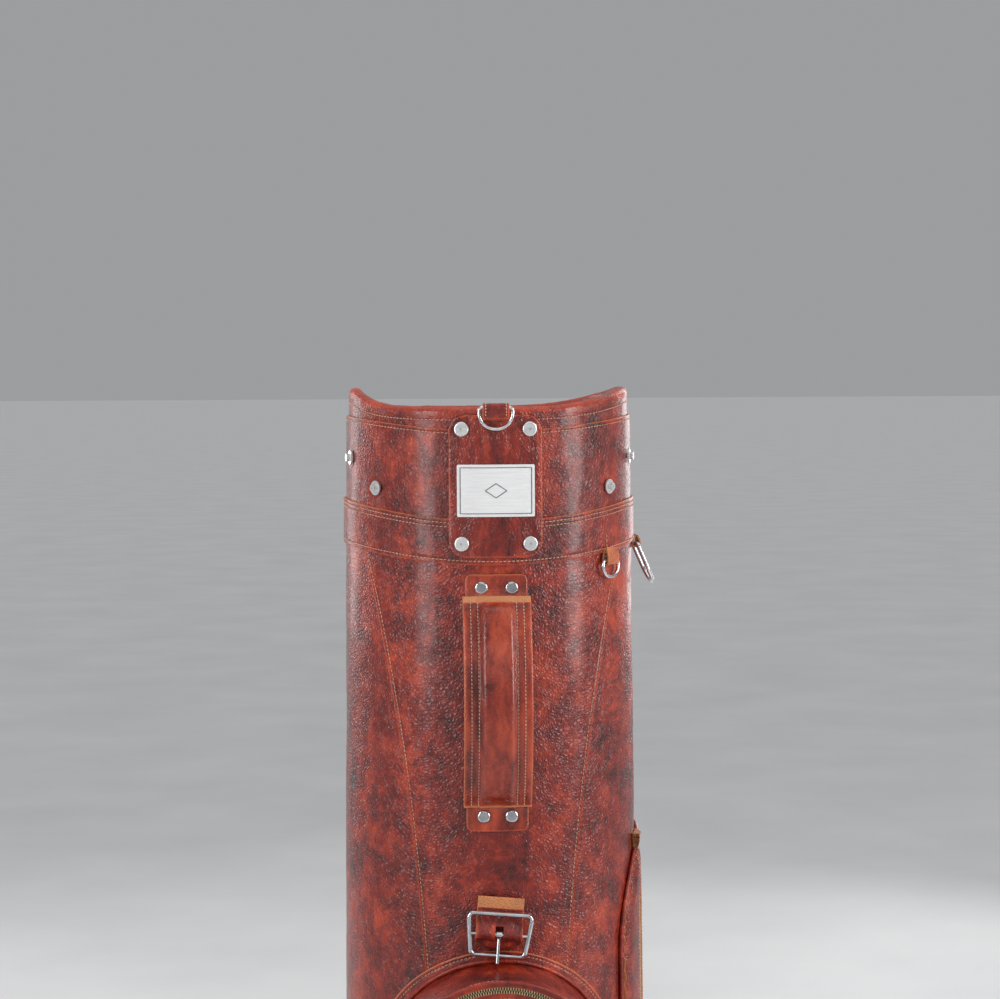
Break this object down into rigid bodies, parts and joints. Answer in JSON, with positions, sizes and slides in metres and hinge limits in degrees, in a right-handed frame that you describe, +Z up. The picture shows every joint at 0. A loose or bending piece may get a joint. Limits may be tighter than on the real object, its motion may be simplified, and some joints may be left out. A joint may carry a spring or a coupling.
{
  "type": "golf staff bag",
  "caption": "Upright leather golf staff bag with a rolled rim, club dividers, carry handle, ball pocket, rings, buckle and shoulder strap.",
  "frame": {"origin": "the middle of the underside, on the ground", "axes": "+Z up the bag; -Y is the front, with the ball pocket; +X is on the viewer's right"},
  "size_m": [0.2825, 0.4789, 0.8846],
  "materials": {
    "main_leather": "glossy pull-up hide with a red-brown mottle",
    "trim_leather": "rolled and piped hide, worn along the edge",
    "patch_leather": "thick hide with raw tan edges",
    "handle_leather": "polished hide with raw tan edges",
    "strap_leather": "belting leather, burnished",
    "pad_leather": "padded hide with quilted stitching",
    "chrome": "polished plate",
    "plate_metal": "satin silver plate",
    "zip_metal": "pale antique teeth on black tape",
    "liner_board": "dark lining",
    "moulded_plastic": "moulded, fine grain",
    "divider_cloth": "woven nylon",
    "divider_plush": "short plush",
    "foot_rubber": "matt",
    "board_wood": "pressed board"
  },
  "bodies": {
    "bag": {"front_panel": "main_leather", "left_side_panel": "main_leather", "right_side_panel": "main_leather", "spine_panel": "main_leather", "cuff_panel": "main_leather", "belt_band": "main_leather", "collar_strip": "main_leather", "ball_pocket_gusset": "main_leather", "ball_pocket_front": "main_leather", "ball_pocket_flange": "main_leather", "side_pocket_panel": "main_leather", "rim_roll": "trim_leather", "base_welt": "trim_leather", "ball_pocket_piping": "trim_leather", "side_pocket_piping": "trim_leather", "crest_patch": "patch_leather", "top_ring_loop": "patch_leather", "towel_ring_tab": "patch_leather", "side_ring_tab": "patch_leather", "spine_ring_tabs": "patch_leather", "buckle_tab": "patch_leather", "handle_grip": "handle_leather", "handle_strap": "handle_leather", "patch_rivets": "chrome", "handle_rivets": "chrome", "hood_studs": "chrome", "spine_rings": "chrome", "strap_hooks": "chrome", "nameplate": "plate_metal", "ball_zip_fixed_row": "zip_metal", "side_zip_rows": "zip_metal", "liner_tube": "liner_board", "top_frame_ring": "moulded_plastic", "base_cup": "moulded_plastic", "divider_sheets": "divider_cloth", "divider_bars": "divider_plush", "base_feet": "foot_rubber", "base_board": "board_wood"},
    "top_ring": {"top_d_ring": "chrome"},
    "towel_ring": {"towel_d_ring": "chrome"},
    "side_ring_body": {"side_ring": "chrome"},
    "buckle": {"buckle_frame": "chrome"},
    "prong": {"buckle_prong": "chrome"},
    "pocket_lid": {"ball_pocket_lid": "main_leather", "ball_zip_lid_row": "zip_metal"},
    "ball_slider": {"ball_zip_slider": "zip_metal"},
    "ball_pull": {"ball_zip_pull": "zip_metal"},
    "side_slider": {"side_zip_slider": "zip_metal"},
    "side_pull": {"side_zip_pull": "zip_metal"},
    "strap": {"strap_swivels": "chrome", "shoulder_strap": "strap_leather", "shoulder_pad": "pad_leather", "strap_adjuster": "chrome"},
    "upper_bolt": {"upper_hook_bolt": "chrome"},
    "lower_bolt": {"lower_hook_bolt": "chrome"}
  },
  "joints": [
    {"name": "top_ring_swing", "type": "hinge", "parent": "bag", "child": "top_ring", "pos_m": [0, -0.1344, 0.8675], "axis": [-1, 0, 0], "range_deg": [0, 165]},
    {"name": "towel_ring_swing", "type": "hinge", "parent": "bag", "child": "towel_ring", "pos_m": [0.10043, -0.08427, 0.7355], "axis": [-0.6428, -0.766, 0], "range_deg": [0, 140]},
    {"name": "side_ring_swing", "type": "hinge", "parent": "bag", "child": "side_ring_body", "pos_m": [0.13114, 0.00458, 0.745], "axis": [0.0349, -0.9994, 0], "range_deg": [-22, 110]},
    {"name": "buckle_swing", "type": "hinge", "parent": "bag", "child": "buckle", "pos_m": [0, -0.142, 0.427], "axis": [-0.9962, 0, 0.0872], "range_deg": [-14, 14]},
    {"name": "prong_swing", "type": "hinge", "parent": "buckle", "child": "prong", "pos_m": [0, -0.142, 0.427], "axis": [-0.9962, 0, 0.0872], "range_deg": [0, 105]},
    {"name": "pocket_lid_fold", "type": "hinge", "parent": "bag", "child": "pocket_lid", "pos_m": [0, -0.1934, 0.308], "axis": [1, 0, 0], "range_deg": [0, 80]},
    {"name": "ball_zip_travel", "type": "hinge", "parent": "bag", "child": "ball_slider", "pos_m": [0, -0.1922, 0.308], "axis": [0, -1, 0], "range_deg": [0, 196]},
    {"name": "ball_pull_swing", "type": "hinge", "parent": "ball_slider", "child": "ball_pull", "pos_m": [0.08516, -0.1978, 0.29603], "axis": [-0.9903, 0, 0.1392], "range_deg": [0, 150]},
    {"name": "side_zip_travel", "type": "slide", "parent": "bag", "child": "side_slider", "axis": [-0.008, 0.0023, 1], "range_m": [0, 0.262]},
    {"name": "side_pull_swing", "type": "hinge", "parent": "side_slider", "child": "side_pull", "pos_m": [0.13774, -0.0395, 0.15805], "axis": [-0.2756, -0.9613, 0], "range_deg": [0, 150]},
    {"name": "strap_swing", "type": "hinge", "parent": "bag", "child": "strap", "pos_m": [0, 0.14997, 0.44], "axis": [0, 0, 1], "range_deg": [-35, 35]},
    {"name": "upper_bolt_slide", "type": "slide", "parent": "bag", "child": "upper_bolt", "axis": [0, 0, -1], "range_m": [0, 0.006], "stiffness_N_per_m": 250, "springref_m": -0.004},
    {"name": "lower_bolt_slide", "type": "slide", "parent": "bag", "child": "lower_bolt", "axis": [0, 0, 1], "range_m": [0, 0.006], "stiffness_N_per_m": 250, "springref_m": -0.004}
  ]
}
